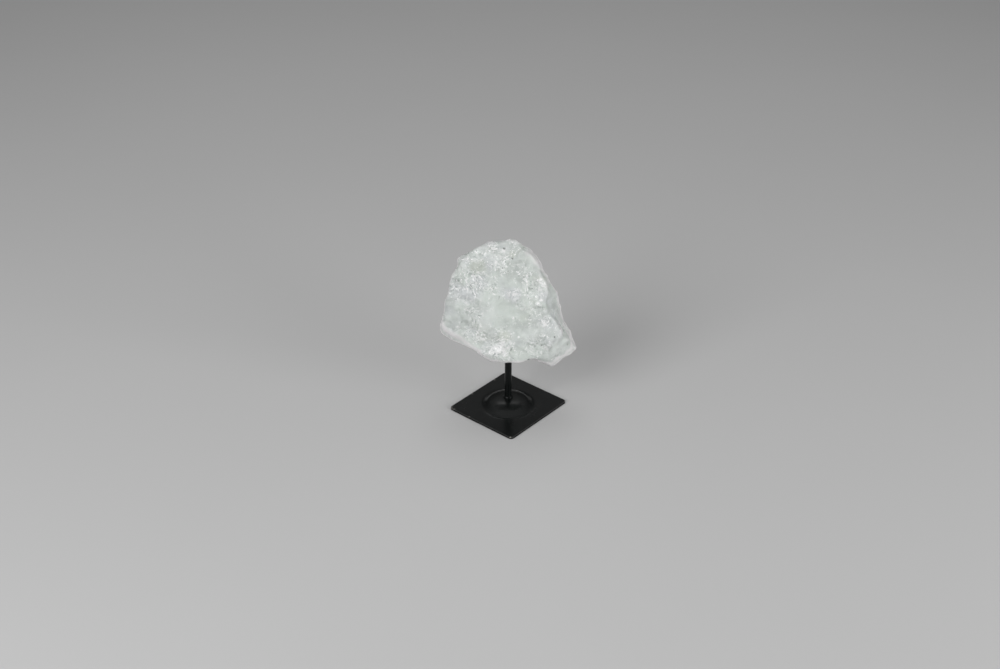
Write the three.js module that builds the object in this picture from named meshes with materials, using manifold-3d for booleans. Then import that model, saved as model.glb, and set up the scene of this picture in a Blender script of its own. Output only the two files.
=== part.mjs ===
// A rough piece of cloudy quartz held up on a steel rod, over a thin pressed steel plate.
// Millimetres, +Z up, front towards -Y. The origin is on the surface that the plate rests on,
// at the middle of the object's outline seen from above.
import * as THREE from 'three';
import Module from 'manifold-3d';
import { mergeVertices } from 'three/addons/utils/BufferGeometryUtils.js';

const { degToRad } = THREE.MathUtils;

// Base plate: a rectangle of sheet steel, pressed up into a round dome in the middle.
const PLATE_WIDTH = 80;
const PLATE_DEPTH = 76;
const PLATE_TURN = degToRad(49.3);
const PLATE_CORNER_RADIUS = 3.5;
const PLATE_EDGE_BEVEL = 0.35;
const SHEET = 2;
const DOME_HEIGHT = 8;
const DOME_SHOULDER_RADIUS = 17;
const DOME_SHOULDER_DROP = 2.6;
const DOME_FOOT_RADIUS = 26;
const DOME_STEPS = 4;
const ROUND_SIDES = 40;

// Rod, with the bead of weld round its foot.
const ROD_RADIUS = 3.175;
const ROD_SIDES = 32;
const BEAD_RADIUS = 4.4;
const BEAD_HEIGHT = 1.9;
const BEAD_STEPS = 4;
const CROWN_SEAT_RADIUS = BEAD_RADIUS + 0.6;

// Stone: rays from its heart find its surface.
const HEART = new THREE.Vector3(0, 5, 106);
const UNDERSIDE = 52;
const HOLE_DEPTH = 24;
const HOLE_CLEARANCE = 0.3;
const STONE_DETAIL = 16;
const STONE_STRETCH = new THREE.Vector3(1.9, 1, 1.8);
const SETTLING_PASSES = 40;

// The rim is the crest where the front of the stone turns into its back: x, y and height of its
// corners from the middle of the rod and HEART's height, anticlockwise as seen from the front.
const RIM = [
  [4, 9, 64.5], [-6.5, 11.5, 62], [-17.5, 10.5, 61.5], [-22, 7.5, 60], [-27, 7.5, 59],
  [-39, 7.5, 52], [-45.5, 6.5, 48], [-45.5, 3, 40.5], [-50, -1.5, 34], [-53, -3.5, 24.5],
  [-53.3, -5.5, 18.5], [-58.3, -5, 6.1], [-57.8, -5.4, 0.1], [-62.4, -9, -14.6], [-60, -11, -20],
  [-50.5, -13.5, -25.5], [-30.5, -20.5, -31.5], [-23.5, -20.5, -39.5], [-12.5, -20.5, -46],
  [9, -22.5, -45], [22, -21.5, -40.5], [32.5, -17.5, -48], [39.5, -15.5, -53], [43, -14.5, -51.5],
  [50, -11, -45.5], [59, -5.5, -44], [63, -1, -42], [62, 3.5, -38.5], [53, 8.5, -20.5],
  [45.5, 8.5, 1], [44.5, 6, 11], [32.5, 5, 34.5], [29, 7, 42.5], [25, 9.5, 48.5],
  [19.5, 10.5, 53.5], [10.5, 9, 59.5], [7, 7.5, 64.5],
];
const RIM_LEAN = degToRad(34);
const FRONT_SLOPE = 0.6;
const BACK_SLOPE = 0.35;
const RIM_BAND = 12;
const RIM_CALM = 0.25;
const RIM_SNAP = 1.4;

// Break faces: the way each one looks (azimuth from the front towards the right, and elevation, in
// degrees), and how far it stands off the rim.
const BREAKS = [
  [0, 8, 1.5], [0, 24, 1], [-18, 16, 0.5], [14, 18, 6], [68, 23, 0], [-6, -14, 2], [0, 52, 1],
  [40, 44, 1], [-42, 42, 1], [-55, 6, 1], [34, -1, 0.5], [38, -14, 1], [0, 84, 1.5],
  [178, 4, 17], [150, 26, 9], [-154, 22, 10], [-122, -6, 6], [118, 2, 7], [-170, -46, 20],
  [146, -50, 20], [176, 54, 9], [0, -90, 1],
];

// Scoops: round hollows left by flakes, as azimuth, elevation, radius of the ball and depth.
const SCOOPS = [
  [-58, 12, 34, 2.2], [22, -22, 24, 1.8], [58, 16, 30, 2.6], [62, -12, 26, 3],
  [-6, 30, 40, 1.6], [162, 14, 34, 3.5], [-140, 40, 22, 2.5], [100, -20, 22, 2.5],
  [-104, 24, 20, 2.5], [-30, -40, 22, 2],
];

// Flakes: smaller hollows spread evenly over the stone, each of its own radius and depth.
const FLAKES = 90;
const FLAKE_TURN = Math.PI * (3 - Math.sqrt(5));
const FLAKE_RADIUS = [11, 34];
const FLAKE_DEPTH = [0.6, 2];
const FLAKE_SALT = 3;
const LEAST_RIM_CUT = 0.3;

// Broken relief: each grain of the stone parts along its own small tilted face.
const GRAINS = [
  { size: 23, height: 0.8, salt: 1 },
  { size: 9, height: 0.5, salt: 2 },
];

const QUARTZ_COLOUR = 0xcdd4cf;
const STAND_COLOUR = 0x17181a;

const MERGE_DISTANCE = 1e-4;
const LEAST_OPENING = 1e-3;
const NORMAL_NUDGE = 0.01;
const HASH_GAIN = 43758.5453;
const HASH_STEPS = [127.1, 311.7, 74.7, 539];

const wasm = await Module();
wasm.setup();

function toSolid(geometry) {
  const bare = geometry.index ? geometry.toNonIndexed() : geometry.clone();
  bare.deleteAttribute('normal');
  bare.deleteAttribute('uv');
  const merged = mergeVertices(bare, MERGE_DISTANCE);
  const mesh = new wasm.Mesh({
    numProp: 3,
    vertProperties: new Float32Array(merged.attributes.position.array),
    triVerts: new Uint32Array(merged.index.array),
  });
  return new wasm.Manifold(mesh);
}

function toGeometry(solid) {
  const { vertProperties, triVerts } = solid.getMesh();
  const geometry = new THREE.BufferGeometry();
  geometry.setAttribute('position', new THREE.BufferAttribute(vertProperties, 3));
  geometry.setIndex(new THREE.BufferAttribute(triVerts, 1));
  return geometry;
}

// A turned shape about +Z, from a profile of [radius, height] points.
function turned(profile, sides) {
  const points = profile.map(([radius, height]) => new THREE.Vector2(radius, height));
  return new THREE.LatheGeometry(points, sides).rotateX(Math.PI / 2);
}

function facing(azimuth, elevation) {
  const flat = Math.cos(degToRad(elevation));
  const turn = degToRad(azimuth);
  return new THREE.Vector3(
    flat * Math.sin(turn),
    -flat * Math.cos(turn),
    Math.sin(degToRad(elevation)),
  );
}

function roundedRectangle(width, depth, radius) {
  const x = width / 2 - radius;
  const y = depth / 2 - radius;
  const shape = new THREE.Shape();
  shape.absarc(x, y, radius, 0, Math.PI / 2);
  shape.absarc(-x, y, radius, Math.PI / 2, Math.PI);
  shape.absarc(-x, -y, radius, Math.PI, 1.5 * Math.PI);
  shape.absarc(x, -y, radius, 1.5 * Math.PI, 2 * Math.PI);
  return shape;
}

// Outer line of the dome from its crown to its foot: a shallow cap, then a wall that goes on
// from the cap's slope and ends level.
function domeLine(shoulder, foot, top, bottom) {
  const line = [[CROWN_SEAT_RADIUS, top]];
  const span = shoulder - CROWN_SEAT_RADIUS;
  for (let step = 1; step < DOME_STEPS; step += 1) {
    const along = step / DOME_STEPS;
    line.push([CROWN_SEAT_RADIUS + span * along, top - DOME_SHOULDER_DROP * along ** 2]);
  }
  const wallTop = top - DOME_SHOULDER_DROP;
  const firstSlope = (-2 * DOME_SHOULDER_DROP * (foot - shoulder)) / span;
  for (let step = 0; step <= 2 * DOME_STEPS; step += 1) {
    const along = step / (2 * DOME_STEPS);
    const fall = along * along * (3 - 2 * along);
    const lead = firstSlope * along * (1 - along) ** 2;
    line.push([shoulder + (foot - shoulder) * along, wallTop + (bottom - wallTop) * fall + lead]);
  }
  return line;
}

function basePlate() {
  const outline = roundedRectangle(PLATE_WIDTH, PLATE_DEPTH, PLATE_CORNER_RADIUS);
  const blank = new THREE.ExtrudeGeometry(outline, {
    depth: SHEET - 2 * PLATE_EDGE_BEVEL,
    bevelThickness: PLATE_EDGE_BEVEL,
    bevelSize: PLATE_EDGE_BEVEL,
    bevelOffset: -PLATE_EDGE_BEVEL,
    bevelSegments: 2,
    curveSegments: 6,
  });
  blank.translate(0, 0, PLATE_EDGE_BEVEL);
  const outer = domeLine(DOME_SHOULDER_RADIUS, DOME_FOOT_RADIUS, SHEET + DOME_HEIGHT, SHEET);
  const inner = domeLine(DOME_SHOULDER_RADIUS - SHEET, DOME_FOOT_RADIUS - SHEET, DOME_HEIGHT, 0);
  const cap = turned([
    [0, SHEET / 2],
    [DOME_FOOT_RADIUS, SHEET / 2],
    ...outer.reverse(),
    [0, SHEET + DOME_HEIGHT],
  ], ROUND_SIDES);
  const hollow = turned([
    [0, -SHEET],
    [DOME_FOOT_RADIUS - SHEET, -SHEET],
    ...inner.reverse(),
    [0, DOME_HEIGHT],
  ], ROUND_SIDES);
  return toGeometry(toSolid(blank).add(toSolid(cap)).subtract(toSolid(hollow)));
}

function rod(length) {
  const profile = [[0, 0]];
  for (let step = 0; step <= BEAD_STEPS; step += 1) {
    const turn = (Math.PI / 2) * (step / BEAD_STEPS);
    const spread = (BEAD_RADIUS - ROD_RADIUS) * (1 - Math.sin(turn));
    profile.push([ROD_RADIUS + spread, BEAD_HEIGHT * (1 - Math.cos(turn))]);
  }
  profile.push([ROD_RADIUS, length], [0, length]);
  return turned(profile, ROD_SIDES);
}

// The rim seen along its own leaning axis: across, upright, and forward of the heart.
const rimAxis = new THREE.Vector3(0, -Math.cos(RIM_LEAN), Math.sin(RIM_LEAN));
const rimUpright = new THREE.Vector3(0, Math.sin(RIM_LEAN), Math.cos(RIM_LEAN));
const rimPoints = RIM.map(([x, y, height]) => new THREE.Vector3(x, y - HEART.y, height));
const rimCorners = rimPoints.map((point) => {
  const upright = point.dot(rimUpright);
  return {
    angle: Math.atan2(upright, point.x),
    across: point.x,
    upright,
    forward: point.dot(rimAxis),
  };
});

// Where a ray from the heart, at this angle round the rim's axis, meets the rim.
function rimAt(angle) {
  const x = Math.cos(angle);
  const y = Math.sin(angle);
  for (let index = 0; index < rimCorners.length; index += 1) {
    const a = rimCorners[index];
    const b = rimCorners[(index + 1) % rimCorners.length];
    const sideA = x * a.upright - y * a.across;
    const sideB = x * b.upright - y * b.across;
    if (sideA * sideB <= 0 && x * a.across + y * a.upright > 0) {
      const share = sideA === sideB ? 0 : sideA / (sideA - sideB);
      return {
        radius: Math.hypot(
          a.across + share * (b.across - a.across),
          a.upright + share * (b.upright - a.upright),
        ),
        forward: a.forward + share * (b.forward - a.forward),
      };
    }
  }
  throw new Error('the rim is open');
}

// How far the two slopes that meet at the rim let a ray from the heart reach.
function reachUnderRim(ray) {
  const upright = ray.dot(rimUpright);
  const forward = ray.dot(rimAxis);
  const outward = Math.hypot(ray.x, upright);
  const rim = rimAt(Math.atan2(upright, ray.x));
  const reachOn = (slope) => {
    const opening = Math.max(outward + slope * forward, LEAST_OPENING);
    return (rim.radius + slope * rim.forward) / opening;
  };
  return Math.min(reachOn(FRONT_SLOPE), reachOn(-BACK_SLOPE));
}

const breakFaces = BREAKS.map(([azimuth, elevation, standOff]) => {
  const normal = facing(azimuth, elevation);
  const distance = Math.max(...rimPoints.map((point) => point.dot(normal))) + standOff;
  return { normal, distance };
});

function reachInsideBreaks(ray) {
  let reach = reachUnderRim(ray);
  for (const { normal, distance } of breakFaces) {
    const towards = ray.dot(normal);
    if (towards > 0) {
      reach = Math.min(reach, distance / towards);
    }
  }
  return reach;
}

// Where a ray leaves the break faces, and the way that the stone faces there.
function spotOnBreaks(ray) {
  const spot = (way) => way.normalize().multiplyScalar(reachInsideBreaks(way));
  const side = new THREE.Vector3(-ray.y, ray.x, 0).normalize();
  const above = ray.clone().cross(side);
  const point = spot(ray.clone());
  const acrossEdge = spot(ray.clone().addScaledVector(side, NORMAL_NUDGE)).sub(point);
  const aboveEdge = spot(ray.clone().addScaledVector(above, NORMAL_NUDGE)).sub(point);
  return { point, normal: acrossEdge.cross(aboveEdge).normalize() };
}

// The ball that leaves a hollow of this depth where the ray meets the stone.
function scoopBall(ray, radius, depth) {
  const { point, normal } = spotOnBreaks(ray);
  return { centre: point.addScaledVector(normal, radius - depth), radius };
}

// The way to one of the flakes, which lie along a spiral from the top to the bottom.
function flakeRay(index) {
  const height = 1 - (2 * index + 1) / FLAKES;
  const turn = index * FLAKE_TURN;
  const level = Math.sqrt(1 - height ** 2);
  const ray = new THREE.Vector3(level * Math.cos(turn), level * Math.sin(turn), height);
  return ray.multiply(STONE_STRETCH).normalize();
}

function flakeBall(index) {
  const between = ([least, most], offset) => (
    THREE.MathUtils.lerp(least, most, cellNumber(index, offset, 0, FLAKE_SALT))
  );
  return scoopBall(flakeRay(index), between(FLAKE_RADIUS, 0), between(FLAKE_DEPTH, 1));
}

function sparesRim({ centre, radius }) {
  return rimPoints.every((point) => point.distanceTo(centre) > radius - LEAST_RIM_CUT);
}

const scoopBalls = [
  ...SCOOPS.map(([azimuth, elevation, radius, depth]) => (
    scoopBall(facing(azimuth, elevation), radius, depth)
  )),
  ...Array.from({ length: FLAKES }, (_, index) => flakeBall(index)).filter(sparesRim),
];

function reachBeforeScoops(ray) {
  let reach = reachInsideBreaks(ray);
  for (const { centre, radius } of scoopBalls) {
    const along = ray.dot(centre);
    const inside = radius ** 2 - centre.lengthSq() + along ** 2;
    if (inside > 0 && along > 0) {
      reach = Math.min(reach, along - Math.sqrt(inside));
    }
  }
  return reach;
}

// A number from 0 to 1 that is always the same for the same cell and salt.
function cellNumber(x, y, z, salt) {
  const [stepX, stepY, stepZ, stepSalt] = HASH_STEPS;
  const wave = HASH_GAIN * Math.sin(stepX * x + stepY * y + stepZ * z + stepSalt * salt);
  return wave - Math.floor(wave);
}

// Height of the small tilted face that the nearest grain has at a point, from -1 to 1 or so.
function grainHeight(point, size, salt) {
  const cell = point.clone().divideScalar(size);
  const corner = cell.clone().floor();
  const seed = new THREE.Vector3();
  let nearest = Infinity;
  let height = 0;
  for (let i = -1; i <= 1; i += 1) {
    for (let j = -1; j <= 1; j += 1) {
      for (let k = -1; k <= 1; k += 1) {
        const x = corner.x + i;
        const y = corner.y + j;
        const z = corner.z + k;
        const number = (offset) => cellNumber(x, y, z, salt + offset / 10);
        seed.set(x + number(0), y + number(1), z + number(2));
        const distance = seed.distanceTo(cell);
        if (distance < nearest) {
          nearest = distance;
          const tilt = new THREE.Vector3(number(3), number(4), number(5)).subScalar(0.5);
          height = number(6) - 0.5 + 2 * tilt.dot(cell.clone().sub(seed));
        }
      }
    }
  }
  return height;
}

// Where a ray ends on the stone before its relief is added, and how far that is from the rim.
// An end close to the rim is set on it.
function endOf(ray) {
  const point = ray.clone().multiplyScalar(reachBeforeScoops(ray));
  const angle = Math.atan2(point.dot(rimUpright), point.x);
  const rim = rimAt(angle);
  const crest = new THREE.Vector3(rim.radius * Math.cos(angle), 0, 0)
    .addScaledVector(rimUpright, rim.radius * Math.sin(angle))
    .addScaledVector(rimAxis, rim.forward);
  const fromRim = point.distanceTo(crest);
  return { point: fromRim < RIM_SNAP ? crest : point, fromRim };
}

// Each corner moved to the middle of the triangles round it, larger ones counting for more.
function evenedOut(points, index) {
  const moved = points.map(() => new THREE.Vector3());
  const triangle = new THREE.Triangle();
  const middle = new THREE.Vector3();
  for (let corner = 0; corner < index.count; corner += 3) {
    const corners = [index.getX(corner), index.getX(corner + 1), index.getX(corner + 2)];
    triangle.set(...corners.map((number) => points[number]));
    triangle.getMidpoint(middle).multiplyScalar(triangle.getArea());
    corners.forEach((number) => moved[number].add(middle));
  }
  return moved.map((sum) => sum.normalize());
}

// The stone's surface before its relief, with triangles of about one size.
function settledStone() {
  const ball = new THREE.IcosahedronGeometry(1, STONE_DETAIL);
  ball.deleteAttribute('normal');
  ball.deleteAttribute('uv');
  const geometry = mergeVertices(ball, MERGE_DISTANCE);
  const positions = geometry.attributes.position;
  let rays = Array.from({ length: positions.count }, (_, corner) => new THREE.Vector3()
    .fromBufferAttribute(positions, corner).multiply(STONE_STRETCH).normalize());
  for (let pass = 0; pass < SETTLING_PASSES; pass += 1) {
    rays = evenedOut(rays.map((ray) => endOf(ray).point), geometry.index);
  }
  return { geometry, ends: rays.map(endOf) };
}

// Relief raises or sinks each corner along the way it faces, and is calm near the rim.
function relief({ point, fromRim }) {
  const calm = THREE.MathUtils.clamp(fromRim / RIM_BAND, RIM_CALM, 1);
  return GRAINS.reduce((sum, { size, height, salt }) => (
    sum + calm * height * grainHeight(point, size, salt)
  ), 0);
}

function quartz() {
  const { geometry, ends } = settledStone();
  const positions = geometry.attributes.position;
  ends.forEach(({ point }, corner) => positions.setXYZ(corner, ...point));
  geometry.computeVertexNormals();
  const normal = new THREE.Vector3();
  ends.forEach((end, corner) => {
    normal.fromBufferAttribute(geometry.attributes.normal, corner);
    positions.setXYZ(corner, ...end.point.addScaledVector(normal, relief(end)));
  });
  const holeRadius = ROD_RADIUS + HOLE_CLEARANCE;
  const drillLength = UNDERSIDE + HOLE_DEPTH;
  const drill = new THREE.CylinderGeometry(holeRadius, holeRadius, drillLength, ROD_SIDES);
  drill.rotateX(Math.PI / 2).translate(0, -HEART.y, HOLE_DEPTH - UNDERSIDE - drillLength / 2);
  return toGeometry(toSolid(geometry).subtract(toSolid(drill)));
}

function namedMesh(name, geometry, material) {
  const mesh = new THREE.Mesh(geometry, material);
  mesh.name = name;
  return mesh;
}

const quartzFinish = new THREE.MeshStandardMaterial({ color: QUARTZ_COLOUR, roughness: 0.35 });
const standFinish = new THREE.MeshStandardMaterial({ color: STAND_COLOUR, roughness: 0.4 });

const crown = SHEET + DOME_HEIGHT;
const rodLength = HEART.z - UNDERSIDE + HOLE_DEPTH - HOLE_CLEARANCE - crown;

const plate = namedMesh('base_plate', basePlate(), standFinish);
plate.rotation.z = PLATE_TURN;
const standRod = namedMesh('stand_rod', rod(rodLength), standFinish);
standRod.position.z = crown;
const stone = namedMesh('quartz_crystal', quartz(), quartzFinish);
stone.position.copy(HEART);

const object = new THREE.Group();
object.add(plate, standRod, stone);
const middle = new THREE.Box3().setFromObject(object, true).getCenter(new THREE.Vector3());
object.position.set(-middle.x, -middle.y, 0);

export default object;
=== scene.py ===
"""A rough piece of milky quartz on its steel stand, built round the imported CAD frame.

Metres, +Z up, front towards -Y. The frame gives the size and place of every piece.
"""

import math

import bmesh
import bpy
from mathutils import Matrix, Vector


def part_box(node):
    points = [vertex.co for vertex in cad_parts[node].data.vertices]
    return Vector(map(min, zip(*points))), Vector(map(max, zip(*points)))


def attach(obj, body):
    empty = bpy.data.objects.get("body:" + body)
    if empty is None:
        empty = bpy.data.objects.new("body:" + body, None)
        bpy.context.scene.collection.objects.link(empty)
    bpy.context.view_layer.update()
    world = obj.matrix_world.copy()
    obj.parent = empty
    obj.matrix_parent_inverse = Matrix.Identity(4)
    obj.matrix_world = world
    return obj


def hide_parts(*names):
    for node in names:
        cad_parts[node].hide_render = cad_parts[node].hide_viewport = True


bl_info = {
    "name": "Quartz on a Stand",
    "version": (1, 0, 0),
    "blender": (4, 5, 0),
    "location": "View3D > Sidebar > Quartz",
    "description": "Builds a rough piece of milky quartz held up on a black steel rod and plate",
    "category": "Add Mesh",
}

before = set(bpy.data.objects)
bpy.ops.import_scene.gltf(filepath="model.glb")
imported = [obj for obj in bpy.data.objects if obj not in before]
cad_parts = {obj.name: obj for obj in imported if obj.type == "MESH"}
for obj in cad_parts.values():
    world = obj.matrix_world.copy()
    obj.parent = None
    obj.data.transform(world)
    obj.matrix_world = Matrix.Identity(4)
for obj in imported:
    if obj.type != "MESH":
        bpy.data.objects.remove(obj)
BODY = "root"
MM = 0.001

STONE_LOW, STONE_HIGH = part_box("quartz_crystal")
ROD_LOW, ROD_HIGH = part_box("stand_rod")
PLATE_LOW, PLATE_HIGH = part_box("base_plate")
ROD_AXIS = (ROD_LOW + ROD_HIGH) / 2
# The stone's front turns into its back along a rim that lies square to this direction, which points
# towards the camera; along that rim the colour gets a painted glow.
RIM_AXIS = (0, -0.829, 0.559)
QUARTZ_IOR = 1.544
MIDDLE_GREY = (0.5, 0.5, 0.5)
SHARP_ANGLE = math.radians(40)
MERGE_DISTANCE = 0.001 * MM
SENSOR_WIDTH = 36.0

# Patches of the stone's face, as centre and radius in millimetres.
SUGARY_PATCHES = (
    ((-9, -21.5, 75.5), 16),
    ((-24, -19.7, 87.4), 9),
    ((21.4, -20.6, 78.5), 8),
    ((33, -21, 78.7), 6),
    ((31, -15.3, 99), 7),
    ((27, -7, 129), 13),
    ((15.2, -7.8, 137.8), 6),
    ((-28, -8.5, 137), 17),
    ((-8, -1, 157), 12),
    ((4.5, -13.5, 127.4), 7),
    ((3.8, -17.4, 105.7), 4),
    ((-13.4, 3.3, 164.7), 8),
)
GLASSY_PATCHES = (
    ((-51, -11, 112), 13),
    ((-52, -12.5, 102), 11),
    ((-57, -14.7, 91.6), 9),
    ((-43.8, -19.6, 86.3), 8),
    ((-40, -16, 101), 8),
    ((46, -15, 76), 11),
    ((52, -10, 72), 8),
    ((19, 1, 152), 11),
    ((0, -17, 112), 15),
    ((-16, -18, 105), 11),
    ((12, -19.5, 89), 10),
    ((37, -4, 118), 12),
    ((46, -1, 97), 10),
    ((-2, -8, 137), 9),
)
DEEP_PATCHES = (
    ((-36.4, -15, 109.4), 8),
    ((-41, -16, 102.5), 7),
    ((-51.5, -9.2, 116.3), 6),
    ((-27.4, -3.2, 149.3), 11),
    ((-30, -9, 134), 10),
    ((38.3, -17.2, 87.9), 8),
    ((0, -6, 141), 6),
    ((33, 0, 131), 8),
)
# Patches whose colour is painted paler, as centre and radius in millimetres.
PALER_PATCHES = (
    ((-19.6, -16.7, 108.4), 14),
    ((18.6, -19.8, 89.5), 12),
    ((42.2, -17.6, 72.4), 10),
    ((48, -13, 74.5), 8),
    ((41, -14, 64), 8),
    ((-6, -21.2, 78), 11),
    ((-8, -1, 157), 12),
    ((28, -7, 128), 9),
    ((-1, -20, 90), 9),
)
STAINED_PATCHES = (
    ((-27.4, -3.2, 149.3), 9),
    ((-4, -20.5, 88), 9),
    ((3, 1, 160), 5),
)
LILAC_PATCHES = (
    ((-27, -8.6, 136.3), 11),
    ((-37, -12, 126), 12),
    ((4, -13, 126), 9),
    ((30, -9, 122), 8),
)
# Painted highlights: spots painted near-white where glints stand, as centre and radius in millimetres.
GLINTS = (
    ((4.5, -13.5, 127.4), 2.6),
    ((31, -15.2, 98.5), 4.5),
    ((27.6, -5.8, 136.7), 3.5),
    ((30.3, -5.5, 133.5), 3),
    ((15.2, -7.8, 137.8), 2.5),
    ((25.5, -11, 116.3), 2.5),
    ((28.2, -9.1, 119.3), 2.5),
    ((3.8, -17.4, 105.7), 2),
    ((8.4, -19.8, 87.4), 1.8),
    ((-6.3, -21.2, 81), 4),
    ((-9, -21.4, 75.8), 6),
    ((-3.6, -21.9, 70.9), 4),
    ((-16.2, -21.9, 73), 4),
    ((-5, 2.4, 162.7), 2.4),
    ((-0.7, 8.7, 169.8), 3),
)
SPECKS = (
    ((-4.3, 3, 164.3), 1.7),
    ((2.8, 0, 155.9), 1.0),
    ((-1.1, -3.9, 145.4), 0.8),
    ((1.7, -22, 74.8), 1.5),
    ((17.6, -22.4, 65.6), 1.5),
    ((53.2, -9.8, 73.4), 1.2),
    ((40.6, -17.9, 86.2), 1.1),
    ((29.4, -20.1, 79.8), 1.1),
    ((-42.4, -16.4, 100.7), 1.1),
)
# Crevices, as both ends, half width and depth in millimetres; the colour in them is darkened as
# painted shade.
CREVICES = (
    ((23.9, -11.5, 113), (31.2, -10.5, 113), 2.0, 1.0),
    ((43, 1, 103), (46, 2, 97), 1.8, 1.0),
    ((41.4, -6.7, 99.4), (48.5, -4, 85.5), 2.4, 1.1),
    ((53, -9.8, 75), (53.6, -9.6, 72), 1.3, 0.6),
    ((-46, -13, 111), (-42.4, -16.4, 100.7), 2.8, 0.4),
    ((-42.4, -16.4, 100.7), (-30, -18, 98), 2.8, 0.4),
    ((21, -21, 73), (29, -21, 72), 1.8, 0.9),
    ((1.7, -21.8, 77), (3.3, -22.2, 72.5), 1.5, 0.9),
)
# Thin edges painted pale, a painted glow standing for light shining through them, as both ends and
# half width in millimetres.
PAINTED_GLOW_EDGES = (
    ((-61, -10, 97), (-57.2, -14.7, 90.6), 5.5),
    ((-57.2, -14.7, 90.6), (-43.8, -19.6, 84.5), 6.0),
    ((-43.8, -19.6, 84.5), (-30.4, -21.5, 76), 4.0),
    ((-30.4, -21.5, 76), (-18.9, -22.1, 65.5), 4.0),
    ((-18.9, -22.1, 65.5), (-8.1, -21.9, 61.5), 3.5),
    ((-8.1, -21.9, 61.5), (16, -22.5, 62.5), 3.0),
    ((22, -22, 64), (39.7, -17.6, 58.7), 3.5),
    ((39.7, -17.6, 58.7), (58.5, -6.6, 69), 4.5),
    ((58.5, -6.6, 69), (50.5, 1.5, 88), 3.5),
    ((50.5, 1.5, 88), (43, 6, 112), 2.0),
    ((33, 3, 137), (30.8, 4, 142.8), 5.0),
    ((30.8, 4, 142.8), (26.3, 3, 150.7), 7.0),
    ((26.3, 3, 150.7), (19.2, 6, 159.3), 7.0),
)
# Spots of bare steel on the plate, as centre and radius in millimetres.
BARE_SPOTS = (
    ((-53.4, -5.2, 1.6), 2.0),
    ((-50.6, -8.4, 1.8), 1.6),
    ((-51.8, -3, 2), 1.1),
    ((-36.4, -20.6, 2), 0.8),
    ((1.2, -53.3, 1.8), 1.8),
    ((-13.4, 41.4, 2), 1.5),
    ((-34.4, 17.3, 2), 1.3),
    ((53, 4.6, 1.8), 1.1),
)


class Signal:
    """A value in a node tree that takes part in plain arithmetic."""

    def __init__(self, graph, socket):
        self.graph = graph
        self.socket = socket

    def out(self, name):
        """Another output of the same node."""
        return Signal(self.graph, self.socket.node.outputs[name])

    def with_math(self, operation, first, second):
        return self.graph.add("ShaderNodeMath", {"operation": operation}, {0: first, 1: second})

    def __add__(self, other):
        return self.with_math("ADD", self, other)

    def __radd__(self, other):
        return self.with_math("ADD", other, self)

    def __sub__(self, other):
        return self.with_math("SUBTRACT", self, other)

    def __rsub__(self, other):
        return self.with_math("SUBTRACT", other, self)

    def __mul__(self, other):
        return self.with_math("MULTIPLY", self, other)

    def __rmul__(self, other):
        return self.with_math("MULTIPLY", other, self)

    def __truediv__(self, other):
        return self.with_math("DIVIDE", self, other)

    def __rtruediv__(self, other):
        return self.with_math("DIVIDE", other, self)


class Graph:
    """A node tree that is being built."""

    def __init__(self, tree):
        self.tree = tree

    def add(self, kind, settings=None, inputs=None, output=0):
        """Adds a node: its settings first, then the values or links of its sockets."""
        node = self.tree.nodes.new(kind)
        for name, value in (settings or {}).items():
            setattr(node, name, value)
        for key, value in (inputs or {}).items():
            if isinstance(value, Signal):
                self.tree.links.new(value.socket, node.inputs[key])
            else:
                node.inputs[key].default_value = value
        return Signal(self, node.outputs[output]) if node.outputs else None

    def vector(self, operation, *terms):
        return self.add("ShaderNodeVectorMath", {"operation": operation}, dict(enumerate(terms)))

    def scaled(self, vector, factor):
        return self.add("ShaderNodeVectorMath", {"operation": "SCALE"}, {0: vector, "Scale": factor})

    def dot(self, first, second):
        settings = {"operation": "DOT_PRODUCT"}
        return self.add("ShaderNodeVectorMath", settings, {0: first, 1: second}, output=1)

    def distance(self, first, second):
        settings = {"operation": "DISTANCE"}
        return self.add("ShaderNodeVectorMath", settings, {0: first, 1: second}, output=1)

    def greater(self, first, second):
        return self.add("ShaderNodeMath", {"operation": "MAXIMUM"}, {0: first, 1: second})

    def ease(self, value, low, high):
        """0 where value is low, 1 where it is high, and smooth between."""
        settings = {"interpolation_type": "SMOOTHSTEP"}
        return self.add("ShaderNodeMapRange", settings, {0: value, 1: low, 2: high})

    def blend(self, factor, first, second):
        """first where factor is 0 and second where it is 1, as colours."""
        inputs = {0: factor, 6: opaque(first), 7: opaque(second)}
        return self.add("ShaderNodeMix", {"data_type": "RGBA"}, inputs, output=2)

    def noise(self, place, size, detail=2.0, roughness=0.5):
        inputs = {"Vector": place, "Scale": 1 / size, "Detail": detail, "Roughness": roughness}
        return self.add("ShaderNodeTexNoise", None, inputs)

    def cells(self, place, size, feature="F1", **inputs):
        inputs = {"Vector": place, "Scale": 1 / size, **inputs}
        return self.add("ShaderNodeTexVoronoi", {"feature": feature}, inputs)

    def attribute(self, name):
        """A number that the mesh stores at each of its points."""
        return self.add("ShaderNodeAttribute", {"attribute_name": name}).out("Fac")

    def wandering(self, place, size, reach, detail=2.0):
        """The place, moved about by up to half the reach in waves of this size."""
        drift = self.vector("SUBTRACT", self.noise(place, size, detail).out("Color"), MIDDLE_GREY)
        return self.vector("ADD", place, self.scaled(drift, reach))


def opaque(colour):
    return colour if isinstance(colour, Signal) else (*colour, 1.0)


def tilted_faces(graph, place, size, salt):
    """Height, about -0.5 to 0.5, of small faces that each lean their own way."""
    seam = 0.03
    shifted = graph.vector("ADD", place, (salt, 2 * salt, -salt))
    cells = graph.cells(shifted, size, "SMOOTH_F1", Smoothness=seam)
    tilt = graph.vector("SUBTRACT", cells.out("Color"), MIDDLE_GREY)
    away = graph.vector("SUBTRACT", shifted, cells.out("Position"))
    return 2 * graph.dot(tilt, away) / size


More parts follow.
